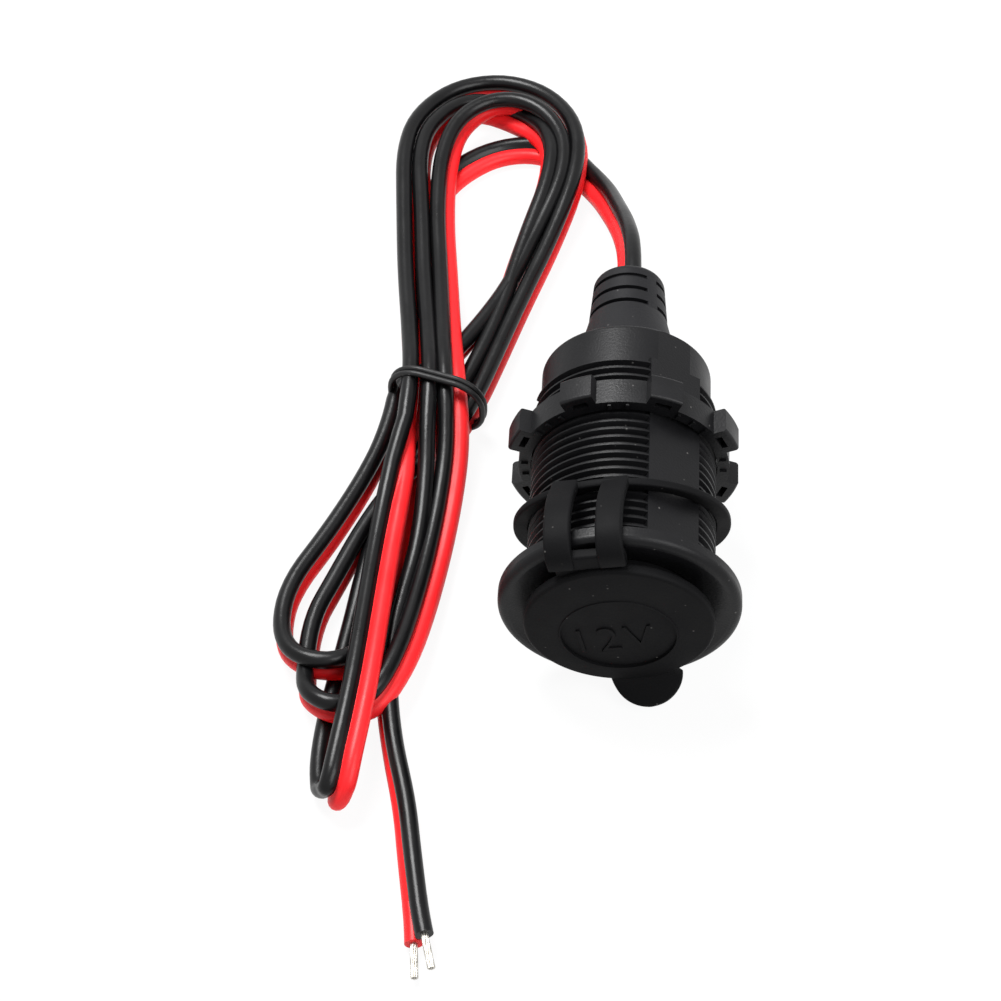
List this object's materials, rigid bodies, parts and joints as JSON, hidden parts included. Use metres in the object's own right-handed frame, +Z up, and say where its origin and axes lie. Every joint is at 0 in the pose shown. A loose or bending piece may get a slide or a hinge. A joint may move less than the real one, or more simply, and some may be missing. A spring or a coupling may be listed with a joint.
{
  "type": "panel-mount accessory power socket",
  "caption": "Round panel-mount 12 V vehicle power socket with a strapped rubber cap, threaded barrel, lugged ring nut, strain relief and a tied twin lead.",
  "frame": {"origin": "centre of the flange's rear face, on the socket's axis", "axes": "+Y along the axis towards the lead, -Y towards the cap, +Z up, +X to the right seen from the cap"},
  "size_m": [0.0729, 0.1804, 0.0394],
  "materials": {
    "black_moulding": "satin moulded black plastic",
    "cap_rubber": "matt black rubber",
    "boot_plastic": "satin flexible black plastic",
    "plated_steel": "bright plated steel",
    "brass": "plain brass",
    "fibre": "red-brown insulating board",
    "copper_strand": "bare copper strand",
    "twin_lead": "red and black cable insulation",
    "red_insulation": "red cable insulation",
    "black_insulation": "black cable insulation",
    "tie_plastic": "black coated tie wire",
    "tinned_strand": "tinned copper strands"
  },
  "bodies": {
    "socket": {"housing": "black_moulding", "contact_sleeve": "plated_steel", "inner_insulator": "fibre", "outer_insulator": "fibre", "centre_contact": "brass", "positive_terminal": "brass", "negative_terminal": "plated_steel", "positive_conductor": "copper_strand", "negative_conductor": "copper_strand", "rear_boot": "boot_plastic", "cable_inner": "twin_lead", "cap_ring": "cap_rubber", "cable_lead": "twin_lead", "cable_hank": "twin_lead", "cable_tie": "tie_plastic", "cable_tail": "twin_lead", "red_core_end": "red_insulation", "black_core_end": "black_insulation", "red_wire_strands": "tinned_strand", "black_wire_strands": "tinned_strand"},
    "lid": {"cap_lid": "cap_rubber"},
    "nut": {"lock_nut": "black_moulding"}
  },
  "joints": [
    {"name": "lid_hinge", "type": "hinge", "parent": "socket", "child": "lid", "pos_m": [-0.00408, -0.0026, 0.01917], "axis": [-0.9781, 0, -0.2079], "range_deg": [0, 150]},
    {"name": "nut_travel", "type": "slide", "parent": "socket", "child": "nut", "axis": [0, 1, 0], "range_m": [-0.0055, 0.005]}
  ]
}
